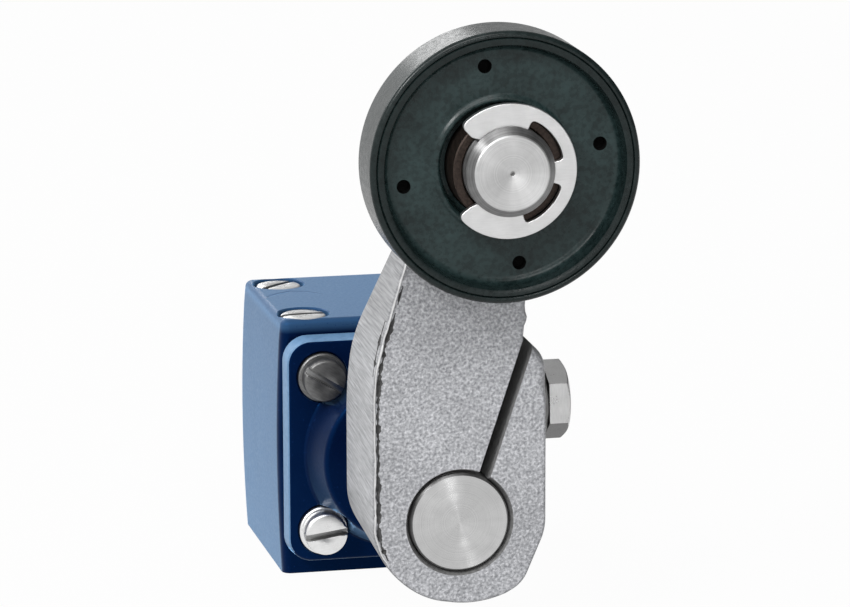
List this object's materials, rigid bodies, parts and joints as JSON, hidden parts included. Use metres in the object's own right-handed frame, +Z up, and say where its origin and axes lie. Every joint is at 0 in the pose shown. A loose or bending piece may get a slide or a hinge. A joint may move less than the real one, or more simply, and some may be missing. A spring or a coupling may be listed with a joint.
{
  "type": "limit switch operating head",
  "caption": "Blue cast limit-switch head with a clamped roller lever that swings both ways, winds a centring spring and moves a plunger by a cam.",
  "frame": {"origin": "middle of the head's base face", "axes": "+Z up out of the base, -Y towards the front where the shaft comes out, +X to the right seen from the front"},
  "size_m": [0.03, 0.0645, 0.0654],
  "materials": {
    "blue_paint": "semi-gloss blue enamel on a casting",
    "black_rubber": "matt",
    "screw_steel": "bright zinc-plated",
    "turned_steel": "turned, bare",
    "spring_steel": "drawn wire",
    "bronze": "sintered bronze",
    "cast_metal": "cast, pebbled front, smooth sides",
    "roller_plastic": "satin moulded"
  },
  "bodies": {
    "head": {"head_housing": "blue_paint", "front_plate": "blue_paint", "plate_gasket": "black_rubber", "plate_screw_1": "screw_steel", "plate_screw_2": "screw_steel", "plate_screw_3": "screw_steel", "plate_screw_4": "screw_steel", "head_screw_1": "screw_steel", "head_screw_2": "screw_steel", "head_screw_3": "screw_steel", "head_screw_4": "screw_steel", "shaft_bushing": "bronze", "shaft_seal": "black_rubber", "torsion_spring": "spring_steel", "plunger_guide": "bronze", "return_spring": "spring_steel"},
    "lever_arm": {"shaft": "turned_steel", "shaft_clip": "spring_steel", "cam": "turned_steel", "cam_pin": "turned_steel", "lever": "cast_metal", "clamp_bolt": "screw_steel", "clamp_washer": "screw_steel", "roller_axle": "turned_steel", "thrust_washer": "turned_steel", "e_clip": "turned_steel"},
    "roller": {"roller": "roller_plastic", "roller_bush": "bronze"},
    "plunger": {"plunger": "turned_steel"}
  },
  "joints": [
    {"name": "lever_pivot", "type": "hinge", "parent": "head", "child": "lever_arm", "pos_m": [0, -0.0351, 0.01385], "axis": [0, 1, 0], "range_deg": [-75, 75], "stiffness_Nm_per_rad": 0.25, "deforming": ["torsion_spring"]},
    {"name": "roller_spin", "type": "hinge", "parent": "lever_arm", "child": "roller", "pos_m": [0.00311, -0.0477, 0.05172], "axis": [0, 1, 0], "continuous": true},
    {"name": "plunger_slide", "type": "slide", "parent": "head", "child": "plunger", "axis": [0, 0, -1], "range_m": [-0.001, 0.001], "deforming": ["return_spring"]}
  ],
  "couplings": [
    {"joint": "plunger_slide", "follows": "lever_pivot", "m_per_rad": 0.00076394}
  ]
}
